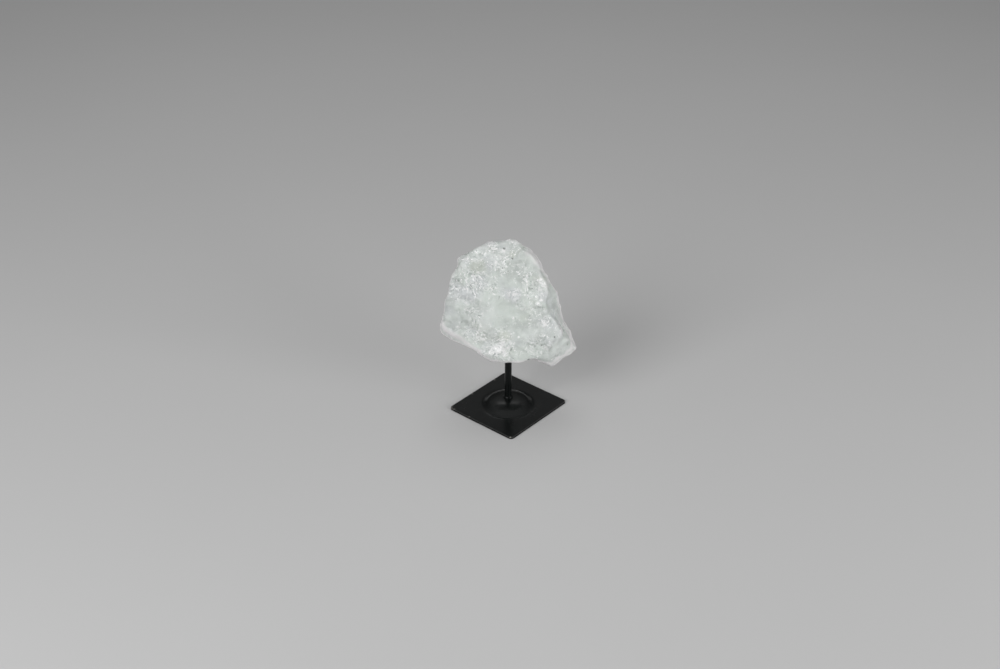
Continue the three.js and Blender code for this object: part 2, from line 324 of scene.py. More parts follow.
def bowls(graph, place, size, salt):
    """Shell-shaped hollows: 0 on the ridges between them, down to -1 in the middle of each."""
    opening = 0.6
    shifted = graph.vector("ADD", place, (salt, -salt, 3 * salt))
    spread = graph.cells(shifted, size)
    dish = spread * spread / opening ** 2 - 1
    return graph.add("ShaderNodeMath", {"operation": "MINIMUM"}, {0: dish, 1: 0.0})


def flat_pits(graph, place, size, salt):
    """Angular hollows with flat sides: 0 on the ridges between them, about -1 at the deepest."""
    steepness = 2.6
    shifted = graph.vector("ADD", place, (2 * salt, salt, -salt))
    return -steepness * graph.cells(shifted, size, "DISTANCE_TO_EDGE")


def stretched(graph, place, bed_size, stretch, salt):
    """Coordinates in which round cells become shards, each bed of them lying its own way."""
    beds = graph.cells(graph.vector("ADD", place, (salt, salt, salt)), bed_size)
    lean = graph.vector("SUBTRACT", beds.out("Color"), MIDDLE_GREY)
    way = graph.vector("NORMALIZE", lean)
    squeeze = graph.dot(place, way) * (1 - 1 / stretch)
    return graph.vector("SUBTRACT", place, graph.scaled(way, squeeze))


def patch_mask(graph, place, patches):
    """1 in the middle of each patch, 0 outside them all. The patches are given in millimetres."""
    full_share = 0.35
    mask = 0.0
    for centre, radius in patches:
        spread = graph.distance(place, tuple(MM * Vector(centre)))
        mask = graph.greater(mask, graph.ease(spread, MM * radius, MM * radius * full_share))
    return mask


def line_mask(graph, place, start, end, half_width):
    """1 on the line between two points given in millimetres, 0 beyond the half width."""
    along = MM * (Vector(end) - Vector(start))
    offset = graph.vector("SUBTRACT", place, tuple(MM * Vector(start)))
    share = graph.dot(offset, tuple(along / along.length_squared))
    nearest = graph.scaled(tuple(along), graph.add("ShaderNodeClamp", None, {0: share}))
    return graph.ease(graph.distance(offset, nearest), MM * half_width, 0.0)


def crevice_depth(graph, place):
    """How deep the crevices are at a place."""
    depth = 0.0
    for start, end, half_width, deepest in CREVICES:
        depth = graph.greater(depth, MM * deepest * line_mask(graph, place, start, end, half_width))
    return depth


class Relief(Graph):
    """The geometry tree that breaks a smooth stone into hollows, faces, splinters and grains."""

    def __init__(self, name):
        super().__init__(bpy.data.node_groups.new(name, "GeometryNodeTree"))
        self.source = self.tree.nodes.new("NodeGroupInput")

    def parameter(self, name, kind="NodeSocketFloat"):
        self.tree.interface.new_socket(name=name, in_out="INPUT", socket_type=kind)
        return Signal(self, self.source.outputs[name])

    def blurred(self, value, times):
        settings = {"data_type": "FLOAT_VECTOR"}
        return self.add("GeometryNodeBlurAttribute", settings, {"Value": value, "Iterations": times})

    def stored(self, geometry, name, value):
        settings = {"data_type": "FLOAT"}
        inputs = {"Geometry": geometry, "Name": name, "Value": value}
        return self.add("GeometryNodeStoreNamedAttribute", settings, inputs)

    def moved(self, geometry, **where):
        return self.add("GeometryNodeSetPosition", None, {"Geometry": geometry, **where})


def relief_tree():
    """Breaks the stone, and stores where it is crested, cracked, sugary or glassy, and where its thin
    rims get a painted glow.
    """
    relief = Relief("Broken quartz")
    stone = relief.parameter("Stone", "NodeSocketGeometry")
    softening = relief.parameter("Softening", "NodeSocketInt")
    hollow_size = relief.parameter("Hollow Size")
    hollow_depth = relief.parameter("Hollow Depth")
    face_size = relief.parameter("Face Size")
    face_depth = relief.parameter("Face Depth")
    splinter_size = relief.parameter("Splinter Size")
    splinter_depth = relief.parameter("Splinter Depth")
    grain_size = relief.parameter("Grain Size")
    grain_depth = relief.parameter("Grain Depth")
    bore_reach = relief.parameter("Bore Reach")
    bore_axis = relief.parameter("Bore Axis", "NodeSocketVector")
    lowest = relief.parameter("Lowest Corner", "NodeSocketVector")
    highest = relief.parameter("Highest Corner", "NodeSocketVector")
    finish = relief.parameter("Finish", "NodeSocketMaterial")
    relief.tree.interface.new_socket(
        name="Broken Stone", in_out="OUTPUT", socket_type="NodeSocketGeometry")

    outward_blur, crest_blur, rim_blur, ridge_blur = 6, 12, 40, 160
    bend_size, bend_reach = 24 * MM, 14 * MM
    wild_size = 34 * MM
    wave_size, wave_reach = 5 * MM, 5 * MM
    bore_fade = 1.6
    # Every kind of break stands out by this share of its depth, and goes in by the rest.
    lift = 0.35

    place = relief.add("GeometryNodeInputPosition")
    normal = relief.add("GeometryNodeInputNormal")
    level_place = relief.vector("MULTIPLY", place, (1, 1, 0))
    level_axis = relief.vector("MULTIPLY", bore_axis, (1, 1, 0))
    from_bore = relief.distance(level_place, level_axis)
    clear_of_bore = relief.ease(from_bore, bore_reach, bore_fade * bore_reach)
    off_bore = relief.add("ShaderNodeMath", {"operation": "GREATER_THAN"}, {0: clear_of_bore, 1: 0.02})
    softened = relief.moved(stone, Selection=off_bore, Position=relief.blurred(place, softening))

    bent = relief.wandering(place, bend_size, bend_reach, 1)
    wild = relief.ease(relief.noise(place, wild_size, 1), 0.46, 0.66)
    sugary = relief.greater(patch_mask(relief, bent, SUGARY_PATCHES), 0.5 * wild)
    glassy = patch_mask(relief, bent, GLASSY_PATCHES)
    rough = relief.add("ShaderNodeClamp", None, {0: sugary - 0.7 * glassy})
    calm = 1 - 0.75 * glassy

    wavy = relief.wandering(place, wave_size, wave_reach)
    crevice = crevice_depth(relief, wavy)
    broad = bowls(relief, bent, hollow_size, 0.31)
    middling = flat_pits(relief, bent, face_size, 0.57)
    small = flat_pits(relief, bent, splinter_size, 0.43)
    grains = flat_pits(relief, place, grain_size, 0.83)
    rise = (
        hollow_depth * (lift + broad)
        + face_depth * (lift + middling)
        + splinter_depth * calm * (lift + small)
        + grain_depth * rough * (lift + grains)
        - crevice
    )
    outward = relief.vector("NORMALIZE", relief.blurred(normal, outward_blur))
    broken = relief.moved(softened, Offset=relief.scaled(outward, rise * clear_of_bore))
    inside = relief.vector("MAXIMUM", relief.vector("MINIMUM", place, highest), lowest)
    fitted = relief.moved(broken, Position=inside)

    bulge = relief.vector("SUBTRACT", place, relief.blurred(place, crest_blur))
    swell = relief.vector("SUBTRACT", place, relief.blurred(place, ridge_blur))
    # The stone is thin where its surface turns from facing along RIM_AXIS to facing away from it;
    # there, and along the listed thin edges, its colour gets a painted glow of light shining through.
    facing = relief.dot(relief.vector("NORMALIZE", relief.blurred(normal, rim_blur)), RIM_AXIS)
    thin = relief.ease(facing, 0.5, 0.2) * relief.ease(facing, -0.35, -0.1)
    for start, end, half_width in PAINTED_GLOW_EDGES:
        thin = relief.greater(thin, 0.8 * line_mask(relief, wavy, start, end, half_width))

    kept = relief.stored(fitted, "crest", relief.dot(bulge, normal) / MM)
    kept = relief.stored(kept, "ridge", relief.dot(swell, normal) / MM)
    # rim holds where the colour gets a painted glow of light shining through thin edges.
    kept = relief.stored(kept, "rim", thin)
    kept = relief.stored(kept, "crack", crevice / MM)
    kept = relief.stored(kept, "sugar", rough)
    kept = relief.stored(kept, "glass", glassy)
    finished = relief.add("GeometryNodeSetMaterial", None, {"Geometry": kept, "Material": finish})
    whole = relief.add("GeometryNodeRealizeInstances", None, {"Geometry": finished})
    relief.add("NodeGroupOutput", None, {0: whole})
    return relief.tree


def new_material(name):
    material = bpy.data.materials.new(name)
    material.use_nodes = True
    material.node_tree.nodes.clear()
    return material, Graph(material.node_tree)


def shaded(graph, **sockets):
    """Ends a material in one shader; the keys are its sockets' names with _ for a space."""
    inputs = {name.replace("_", " "): value for name, value in sockets.items()}
    shader = graph.add("ShaderNodeBsdfPrincipled", None, inputs)
    graph.add("ShaderNodeOutputMaterial", None, {"Surface": shader})


def bumped(graph, height):
    """The surface's direction where it rises by height, in metres."""
    return graph.add("ShaderNodeBump", None, {"Strength": 1.0, "Distance": 1.0, "Height": height})


def milky_quartz(look):
    """Cloudy quartz: milky depths, white veils, beds of bright shards that partly stand in for glints,
    painted highlights and glow on crests, ridges and thin rims, painted shade in hollows and crevices,
    dark specks.
    """
    bend_size, bend_reach = 14 * MM, 9 * MM
    rag_size, rag_reach = 2.4 * MM, 2.4 * MM
    cloud_size, violet_size, olive_size = 22 * MM, 30 * MM, 26 * MM
    veil_size, mottle_size, scatter_size = 7 * MM, 2.6 * MM, 8 * MM
    shard_size, shard_bed, shard_stretch = 1.3 * MM, 9 * MM, 4.0
    splinter_size, splinter_bed, splinter_stretch = 0.8 * MM, 6 * MM, 3.0
    chip_size, frost_size = 4.2 * MM, 0.7 * MM
    # Patterns on the same coordinates are moved apart, so that they don't match.
    violet_shift, olive_shift = (0.3, 0, 0), (0, 0.3, 0)

    material, graph = new_material("cloudy_quartz")
    place = graph.add("ShaderNodeTexCoord").out("Object")
    crest = graph.attribute("crest")
    ridge = graph.attribute("ridge")
    sugar = graph.attribute("sugar")
    flecked = 1 - 0.85 * graph.attribute("glass")

    bent = graph.wandering(place, bend_size, bend_reach, 3)
    ragged = graph.wandering(place, rag_size, rag_reach)
    cloud = graph.ease(graph.noise(bent, cloud_size, 3), 0.36, 0.64)
    violet = graph.noise(graph.vector("ADD", bent, violet_shift), violet_size, 2)
    olive = graph.noise(graph.vector("ADD", bent, olive_shift), olive_size, 2)
    veil = graph.noise(bent, veil_size, 5, 0.62)
    off_veil = graph.add("ShaderNodeMath", {"operation": "ABSOLUTE"}, {0: veil - 0.5})
    wisp = graph.ease(1 - 2 * off_veil, 0.86, 0.99)
    mottle = graph.ease(graph.noise(place, mottle_size, 4, 0.65), 0.5, 0.68)
    scatter = graph.ease(graph.noise(ragged, scatter_size, 3, 0.6), 0.44, 0.6)

    long_place = stretched(graph, bent, shard_bed, shard_stretch, 0.21)
    shard = graph.cells(long_place, shard_size).out("Color")
    shard_tone = graph.add("ShaderNodeSeparateColor", None, {0: shard})
    splinter_place = stretched(graph, ragged, splinter_bed, splinter_stretch, 0.57)
    splinter = graph.cells(splinter_place, splinter_size).out("Color")
    splinter_tone = graph.add("ShaderNodeSeparateColor", None, {0: splinter})
    bright_shard = graph.ease(shard_tone, 0.8, 0.87)
    dark_shard = graph.ease(shard_tone.out("Green"), 0.84, 0.92)
    polished_shard = graph.ease(shard_tone.out("Blue"), 0.5, 0.7)
    bright_splinter = graph.ease(splinter_tone, 0.85, 0.9)
    broken = graph.ease(splinter_tone.out("Green"), 0.3, 0.45)

    # Each layer covers those before it, by a share from 0 to 1.
    layers = (
        (0.5 * graph.ease(violet, 0.5, 0.68), look.violet_colour),
        (0.2 * graph.ease(olive, 0.56, 0.7), look.olive_colour),
        (0.7 * patch_mask(graph, bent, DEEP_PATCHES), look.depth_colour),
        # Patches painted paler.
        (0.48 * patch_mask(graph, bent, PALER_PATCHES), look.veil_colour),
        (0.35 * patch_mask(graph, bent, STAINED_PATCHES), look.olive_colour),
        (0.6 * patch_mask(graph, bent, LILAC_PATCHES), look.violet_colour),
        (wisp * flecked * (0.16 + 0.3 * sugar), look.veil_colour),
        (mottle * flecked * (0.08 + 0.2 * sugar), look.veil_colour),
        (dark_shard * flecked * (0.45 * scatter + 0.2 * sugar), look.dark_grain_and_shade_colour),
        # White grains, partly real white flecks and partly painted highlights standing in for glints.
        (bright_shard * flecked * (0.3 * scatter + 0.6 * sugar), look.grain_and_highlight_colour),
        (bright_splinter * flecked * (0.75 * scatter + 0.6 * sugar), look.grain_and_highlight_colour),
        # Painted shade in the hollows.
        (0.15 * graph.ease(crest, -0.06, -0.5), look.dark_grain_and_shade_colour),
        # Painted highlights on convex crests and ridges.
        (0.4 * graph.ease(crest, 0.12, 0.8), look.painted_highlight_colour),
        (0.2 * graph.ease(ridge, 0.8, 2.6), look.painted_highlight_colour),
        # Painted glow along the thin rims.
        (0.8 * graph.attribute("rim"), look.painted_highlight_colour),
        # Painted highlights at the glints.
        (patch_mask(graph, ragged, GLINTS) * (0.3 + 0.7 * broken), look.grain_and_highlight_colour),
        # Painted shade in the crevices.
        (0.5 * graph.ease(graph.attribute("crack"), 0.25, 0.8), look.dark_grain_and_shade_colour),
        (0.85 * patch_mask(graph, ragged, SPECKS), look.speck_colour),
    )
    colour = graph.blend(cloud, look.depth_colour, look.milk_colour)
    for share, layer_colour in layers:
        colour = graph.blend(share, colour, layer_colour)

    facets = tilted_faces(graph, long_place, shard_size, 0.0)
    chips = tilted_faces(graph, bent, chip_size, 0.73)
    frost = graph.noise(place, frost_size, 3, 0.6)
    height = (
        facets * (0.06 * MM + 0.44 * MM * sugar)
        + chips * (0.12 * MM + 0.3 * MM * sugar)
        + frost * (0.05 * MM + 0.03 * MM * sugar)
    )
    shaded(
        graph,
        Base_Color=colour,
        Roughness=0.46 - 0.34 * polished_shard * (0.2 + 0.8 * sugar) + 0.1 * mottle,
        IOR=QUARTZ_IOR,
        Normal=bumped(graph, height),
        Subsurface_Weight=look.milkiness,
        Subsurface_Radius=(1.0, 1.0, 1.0),
        Subsurface_Scale=look.glow_depth,
        Transmission_Weight=look.clearness,
    )
    return material


def black_paint(look, name, gloss):
    """Black paint on steel, with faint dust, a painted highlight along the plate's top edge, paint
    rubbed off in places, bare spots and a dull cut side.
    """
    peel_size, smear_size, dust_size = 1.1 * MM, 17 * MM, 2.1 * MM
    rub_size, grit_size = 9 * MM, 0.8 * MM
    fray_size, fray_reach = 1.2 * MM, 2 * MM
    peel_height, dust_height, rub_depth = 0.012 * MM, 0.03 * MM, 0.04 * MM

    material, graph = new_material(name)
    place = graph.add("ShaderNodeTexCoord").out("Object")
    # The edge band, which carries the painted edge highlight and the rubbed paint.
    edge = graph.attribute("rubbed")
    peel = graph.noise(place, peel_size, 2)
    smear = graph.noise(place, smear_size, 3, 0.6)
    dust_cell = graph.cells(place, dust_size)
    dust_pick = graph.add("ShaderNodeSeparateColor", None, {0: dust_cell.out("Color")})
    dust = graph.ease(dust_cell, 0.12, 0.04) * graph.ease(dust_pick, 0.9, 0.92)
    rub_where = graph.ease(graph.noise(place, rub_size, 3, 0.7), 0.56, 0.64)
    rub_grit = graph.ease(graph.noise(place, grit_size, 3, 0.7), 0.46, 0.6)
    bare = patch_mask(graph, graph.wandering(place, fray_size, fray_reach), BARE_SPOTS)
    rub = graph.greater(graph.ease(edge, 0.55, 0.95) * rub_where, bare) * rub_grit

    colour = graph.blend(0.5 * smear, look.paint_colour, look.worn_paint_colour)
    colour = graph.blend(0.35 * dust, colour, look.dust_colour)
    # Painted highlight: a pale line along the whole top edge.
    colour = graph.blend(0.3 * edge, colour, look.edge_highlight_colour)
    colour = graph.blend(rub, colour, look.bare_metal_colour)
    satin = graph.add("ShaderNodeBsdfPrincipled", None, {
        "Base Color": colour,
        "Metallic": 0.5 * rub,
        "Roughness": look.paint_roughness + 0.16 * (smear - 0.5) + 0.2 * dust,
        "Specular IOR Level": gloss,
        "Normal": bumped(graph, peel_height * peel + dust_height * dust - rub_depth * rub),
    })
    dull = graph.add("ShaderNodeBsdfDiffuse", None, {"Color": opaque(look.cut_side_colour)})
    mixed = graph.add("ShaderNodeMixShader", None, {0: graph.attribute("cut"), 1: satin, 2: dull})
    graph.add("ShaderNodeOutputMaterial", None, {"Surface": mixed})
    return material


def pale_floor(colour):
    """Plain pale floor with a very faint unevenness."""
    material, graph = new_material("pale_floor")
    place = graph.add("ShaderNodeTexCoord").out("Object")
    patch_size = 0.35
    darkest_share = 0.96
    darker = tuple(darkest_share * channel for channel in colour)
    tone = graph.blend(graph.noise(place, patch_size, 3), darker, colour)
    shaded(graph, Base_Color=tone, Roughness=0.7)
    return material


def new_piece(name, mesh):
    piece = bpy.data.objects.new(name, mesh)
    bpy.context.scene.collection.objects.link(piece)
    return piece


def baked(piece):
    """Turns the piece's modifiers into its plain mesh."""
    graph = bpy.context.evaluated_depsgraph_get()
    mesh = bpy.data.meshes.new_from_object(
        piece.evaluated_get(graph), preserve_all_data_layers=True, depsgraph=graph
    )
    piece.modifiers.clear()
    piece.data = mesh
    return piece


def merged_copy(node):
    """A copy of a CAD node's mesh whose triangles share their corners."""
    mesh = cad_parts[node].data.copy()
    work = bmesh.new()
    work.from_mesh(mesh)
    bmesh.ops.remove_doubles(work, verts=work.verts, dist=MERGE_DISTANCE)
    work.to_mesh(mesh)
    work.free()
    mesh.materials.clear()
    return mesh


class QuartzLook(bpy.types.PropertyGroup):
    mesh_size: bpy.props.FloatProperty(
        name="Mesh Size", description="Edge of the stone's small faces",
        default=0.68 * MM, unit="LENGTH")
    softening: bpy.props.IntProperty(
        name="Softening", description="How often the solid is smoothed before it is broken", default=6)
    hollow_size: bpy.props.FloatProperty(
        name="Hollow Size", description="Width of the shell-shaped hollows",
        default=32 * MM, unit="LENGTH")
    hollow_depth: bpy.props.FloatProperty(
        name="Hollow Depth", description="Depth of the shell-shaped hollows",
        default=1.1 * MM, unit="LENGTH")
    face_size: bpy.props.FloatProperty(
        name="Face Size", description="Width of the broken faces", default=15 * MM, unit="LENGTH")
    face_depth: bpy.props.FloatProperty(
        name="Face Depth", description="Height of the broken faces", default=1.0 * MM, unit="LENGTH")
    splinter_size: bpy.props.FloatProperty(
        name="Splinter Size", description="Width of the splinters", default=6 * MM, unit="LENGTH")
    splinter_depth: bpy.props.FloatProperty(
        name="Splinter Depth", description="Height of the splinters", default=0.32 * MM, unit="LENGTH")
    grain_size: bpy.props.FloatProperty(
        name="Grain Size", description="Width of the sugary grains", default=2.4 * MM, unit="LENGTH")
    grain_depth: bpy.props.FloatProperty(
        name="Grain Depth", description="Height of the sugary grains",
        default=0.3 * MM, unit="LENGTH")
    bore_reach: bpy.props.FloatProperty(
        name="Bore Reach", description="Radius round the rod within which the stone stays plain",
        default=4.2 * MM, unit="LENGTH")
    depth_colour: bpy.props.FloatVectorProperty(
        name="Depth Colour", description="The clearer, darker depths", subtype="COLOR",
        default=(0.5, 0.535, 0.512))
    milk_colour: bpy.props.FloatVectorProperty(
        name="Milk Colour", description="The milky body", subtype="COLOR",
        default=(0.61, 0.655, 0.62))
    violet_colour: bpy.props.FloatVectorProperty(
        name="Violet Colour", description="The faintly violet zones", subtype="COLOR",
        default=(0.585, 0.6, 0.62))
    olive_colour: bpy.props.FloatVectorProperty(
        name="Olive Colour", description="The faintly stained zones", subtype="COLOR",
        default=(0.5, 0.53, 0.43))
    veil_colour: bpy.props.FloatVectorProperty(
        name="Veil Colour", description="White veils of healed cracks", subtype="COLOR",
        default=(0.76, 0.79, 0.775))
    # Bright sugary grains, and the painted highlights that stand in for glints.
    grain_and_highlight_colour: bpy.props.FloatVectorProperty(
        name="Glint Colour", description="Bright sugary grains", subtype="COLOR",
        default=(0.95, 0.95, 0.95))
    # Dark grains, and painted shade in hollows and crevices.
    dark_grain_and_shade_colour: bpy.props.FloatVectorProperty(
        name="Hollow Colour", description="Crevices and dark grains", subtype="COLOR",
        default=(0.3, 0.335, 0.32))
    # Painted highlight and glow on crests, ridges and thin edges.
    painted_highlight_colour: bpy.props.FloatVectorProperty(
        name="Crest Colour", description="Thin bright edges", subtype="COLOR",
        default=(0.86, 0.82, 0.84))
    speck_colour: bpy.props.FloatVectorProperty(
        name="Speck Colour", description="Small dark specks", subtype="COLOR",
        default=(0.12, 0.13, 0.12))
    milkiness: bpy.props.FloatProperty(
        name="Milkiness", description="Share of the light that scatters inside", default=0.7,
        subtype="FACTOR", min=0, max=1)
    glow_depth: bpy.props.FloatProperty(
        name="Glow Depth", description="How far light spreads inside", default=1.3 * MM, unit="LENGTH")
    clearness: bpy.props.FloatProperty(
        name="Clearness", description="Share of the light that passes as through glass", default=0.1,
        subtype="FACTOR", min=0, max=1)


class StandLook(bpy.types.PropertyGroup):
    plate_width: bpy.props.FloatProperty(
        name="Plate Width", description="Longer side of the plate", default=80 * MM, unit="LENGTH")
    plate_depth: bpy.props.FloatProperty(
        name="Plate Depth", description="Shorter side of the plate", default=76 * MM, unit="LENGTH")
    plate_turn: bpy.props.FloatProperty(
        name="Plate Turn", description="Turn of the plate about the rod",
        default=math.radians(49.3), subtype="ANGLE")
    corner_radius: bpy.props.FloatProperty(
        name="Corner Radius", description="Radius of the plate's corners", default=3.5 * MM,
        unit="LENGTH")
    sheet: bpy.props.FloatProperty(
        name="Sheet", description="Thickness of the steel", default=2 * MM, unit="LENGTH")
    edge_radius: bpy.props.FloatProperty(
        name="Edge Radius", description="Rounding of the plate's edge", default=0.35 * MM,
        unit="LENGTH")
    # The rim band fades into the edge that carries the painted edge highlight and rubbed paint.
    rim_band: bpy.props.FloatProperty(
        name="Rim Band", description="Width of the band that fades to the rubbed edge",
        default=0.6 * MM, unit="LENGTH")
    dome_foot: bpy.props.FloatProperty(
        name="Dome Foot", description="Radius where the dome meets the flat plate",
        default=26 * MM, unit="LENGTH")
    dome_shoulder: bpy.props.FloatProperty(
        name="Dome Shoulder", description="Radius where the dome turns down", default=17 * MM,
        unit="LENGTH")
    shoulder_drop: bpy.props.FloatProperty(
        name="Shoulder Drop", description="How far the shoulder lies below the crown",
        default=2.6 * MM, unit="LENGTH")
    crown_radius: bpy.props.FloatProperty(
        name="Crown Radius", description="Radius of the flat crown under the rod", default=5 * MM,
        unit="LENGTH")
    rod_radius: bpy.props.FloatProperty(
        name="Rod Radius", description="Radius of the round bar", default=3.175 * MM, unit="LENGTH")
    bead_height: bpy.props.FloatProperty(
        name="Bead Height", description="Height of the weld round the rod's foot",
        default=2.1 * MM, unit="LENGTH")
    bead_ripple: bpy.props.FloatProperty(
        name="Bead Ripple", description="Unevenness of the weld", default=0.22 * MM, unit="LENGTH")
    paint_colour: bpy.props.FloatVectorProperty(
        name="Paint Colour", description="Black paint", subtype="COLOR",
        default=(0.003, 0.0037, 0.0036))
    worn_paint_colour: bpy.props.FloatVectorProperty(
        name="Worn Paint Colour", description="Paint dulled by handling", subtype="COLOR",
        default=(0.0065, 0.0078, 0.0076))
    # Pale line painted along the plate's top edge as a painted highlight.
    edge_highlight_colour: bpy.props.FloatVectorProperty(
        name="Edge Highlight Colour", description="Paint worn thin along the plate's edge",
        subtype="COLOR", default=(0.11, 0.11, 0.11))
    cut_side_colour: bpy.props.FloatVectorProperty(
        name="Cut Side Colour", description="Dull black on the plate's cut sides", subtype="COLOR",
        default=(0.003, 0.003, 0.003))
    dust_colour: bpy.props.FloatVectorProperty(
        name="Dust Colour", description="Fine dust on the paint", subtype="COLOR",
        default=(0.12, 0.12, 0.11))
    bare_metal_colour: bpy.props.FloatVectorProperty(
        name="Bare Metal Colour", description="Steel where the paint has rubbed off",
        subtype="COLOR", default=(0.42, 0.4, 0.37))
    plate_gloss: bpy.props.FloatProperty(
        name="Plate Gloss", description="Strength of the plate's reflections", default=0.42,
        subtype="FACTOR", min=0, max=1)
    rod_gloss: bpy.props.FloatProperty(
        name="Rod Gloss", description="Strength of the rod's reflections", default=0.15,
        subtype="FACTOR", min=0, max=1)
    paint_roughness: bpy.props.FloatProperty(
        name="Paint Roughness", description="Satin of the paint", default=0.25, subtype="FACTOR",
        min=0, max=1)


class StudioLook(bpy.types.PropertyGroup):
    floor_size: bpy.props.FloatProperty(
        name="Floor Size", description="Side of the floor", default=16.0, unit="LENGTH")
    floor_colour: bpy.props.FloatVectorProperty(
        name="Floor Colour", description="Pale floor", subtype="COLOR", default=(0.55, 0.55, 0.55))
    horizon_height: bpy.props.FloatProperty(
        name="Horizon Height", description="Sine of the height up to which the sky stays weak",
        default=0.2, min=0, max=1)
    horizon_strength: bpy.props.FloatProperty(
        name="Horizon Strength", description="Light from near the horizon", default=0.05)
    zenith_strength: bpy.props.FloatProperty(
        name="Zenith Strength", description="Light from overhead", default=0.5)
    key_place: bpy.props.FloatVectorProperty(
        name="Key Place", description="Where the key light stands, in front and to the left",
        subtype="TRANSLATION", default=(-1.0, -1.2, 0.95))
    key_side: bpy.props.FloatProperty(
        name="Key Side", description="Side of the square key light", default=1.0, unit="LENGTH")
    key_power: bpy.props.FloatProperty(
        name="Key Power", description="Power of the key light", default=20.7, unit="POWER")
    fill_place: bpy.props.FloatVectorProperty(
        name="Fill Place", description="Where the fill light stands, in front and to the right",
        subtype="TRANSLATION", default=(1.35, -0.95, 0.45))
    fill_side: bpy.props.FloatProperty(
        name="Fill Side", description="Side of the square fill light", default=1.0, unit="LENGTH")
    fill_power: bpy.props.FloatProperty(
        name="Fill Power", description="Power of the fill light", default=17.2, unit="POWER")
    back_place: bpy.props.FloatVectorProperty(
        name="Back Place", description="Where the back light stands, high up and behind",
        subtype="TRANSLATION", default=(0.0, 0.7, 1.75))
    back_side: bpy.props.FloatProperty(
        name="Back Side", description="Side of the square back light", default=1.2, unit="LENGTH")
    back_power: bpy.props.FloatProperty(
        name="Back Power", description="Power of the back light", default=5.0, unit="POWER")
    camera_place: bpy.props.FloatVectorProperty(
        name="Camera Place", description="Where the camera stands", subtype="TRANSLATION",
        default=(-0.008, -1.0756, 0.7325))
    camera_dip: bpy.props.FloatProperty(
        name="Camera Dip", description="How far the camera looks down", subtype="ANGLE",
        default=math.radians(31.32))
    lens: bpy.props.FloatProperty(
        name="Lens", description="Focal length in millimetres on a 36 mm sensor", default=50.0)


class SPECIMEN_OT_quartz(bpy.types.Operator):
    """Builds the stone: the solid's form, broken into hollows, faces, splinters and grains"""

    bl_idname = "specimen.quartz"
    bl_label = "Milky Quartz"

    def execute(self, context):
        look = context.scene.quartz_look
        stone = new_piece("milky_quartz_chunk", merged_copy("quartz_crystal"))
        remesh = stone.modifiers.new("Even faces", "REMESH")
        remesh.mode = "VOXEL"
        remesh.voxel_size = look.mesh_size
        remesh.use_smooth_shade = True
        tree = relief_tree()
        chipping = stone.modifiers.new("Broken quartz", "NODES")
        chipping.node_group = tree
        values = {
            "Softening": look.softening,
            "Hollow Size": look.hollow_size,
            "Hollow Depth": look.hollow_depth,
            "Face Size": look.face_size,
            "Face Depth": look.face_depth,
            "Splinter Size": look.splinter_size,
            "Splinter Depth": look.splinter_depth,
            "Grain Size": look.grain_size,
            "Grain Depth": look.grain_depth,
            "Bore Reach": look.bore_reach,
            "Bore Axis": tuple(ROD_AXIS),
            "Lowest Corner": tuple(STONE_LOW),
            "Highest Corner": tuple(STONE_HIGH),
            "Finish": milky_quartz(look),
        }
        for socket in tree.interface.items_tree:
            if socket.name in values:
                chipping[socket.identifier] = values[socket.name]
        baked(stone)
        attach(stone, BODY)
        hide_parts("quartz_crystal")
        return {"FINISHED"}


def rounded_outline(look, inset):
    """Corners of the plate's outline, drawn in by inset, with the same number at every inset."""
    radius = look.corner_radius - inset
    half_width = look.plate_width / 2 - look.corner_radius
    half_depth = look.plate_depth / 2 - look.corner_radius
    side_steps = 26
    corner_steps = 10
    corners = ((1, 1), (-1, 1), (-1, -1), (1, -1))
    points = []
    for quarter, (across, along) in enumerate(corners):
        centre = Vector((across * half_width, along * half_depth))
        for step in range(corner_steps + 1):
            turn = math.pi / 2 * (quarter + step / corner_steps)
            points.append(centre + radius * Vector((math.cos(turn), math.sin(turn))))
        next_across, next_along = corners[(quarter + 1) % 4]
        next_centre = Vector((next_across * half_width, next_along * half_depth))
        end = math.pi / 2 * (quarter + 1)
        leap = next_centre - centre
        start = centre + radius * Vector((math.cos(end), math.sin(end)))
        points.extend(start + leap * step / side_steps for step in range(1, side_steps))
    return points


def dome_height(look, radius, shoulder, foot, top, bottom):
    """Height of the pressed dome's line at a radius: a shallow cap, then a smooth wall."""
    cap = shoulder - look.crown_radius
    if radius <= shoulder:
        share = max(0.0, radius - look.crown_radius) / cap
        return top - look.shoulder_drop * share ** 2
    wall = foot - shoulder
    share = min(1.0, (radius - shoulder) / wall)
    wall_top = top - look.shoulder_drop
    first_slope = -2 * look.shoulder_drop / cap * wall
    return (
        (2 * share ** 3 - 3 * share ** 2 + 1) * wall_top
        + (share ** 3 - 2 * share ** 2 + share) * first_slope
        + (3 * share ** 2 - 2 * share ** 3) * bottom
    )


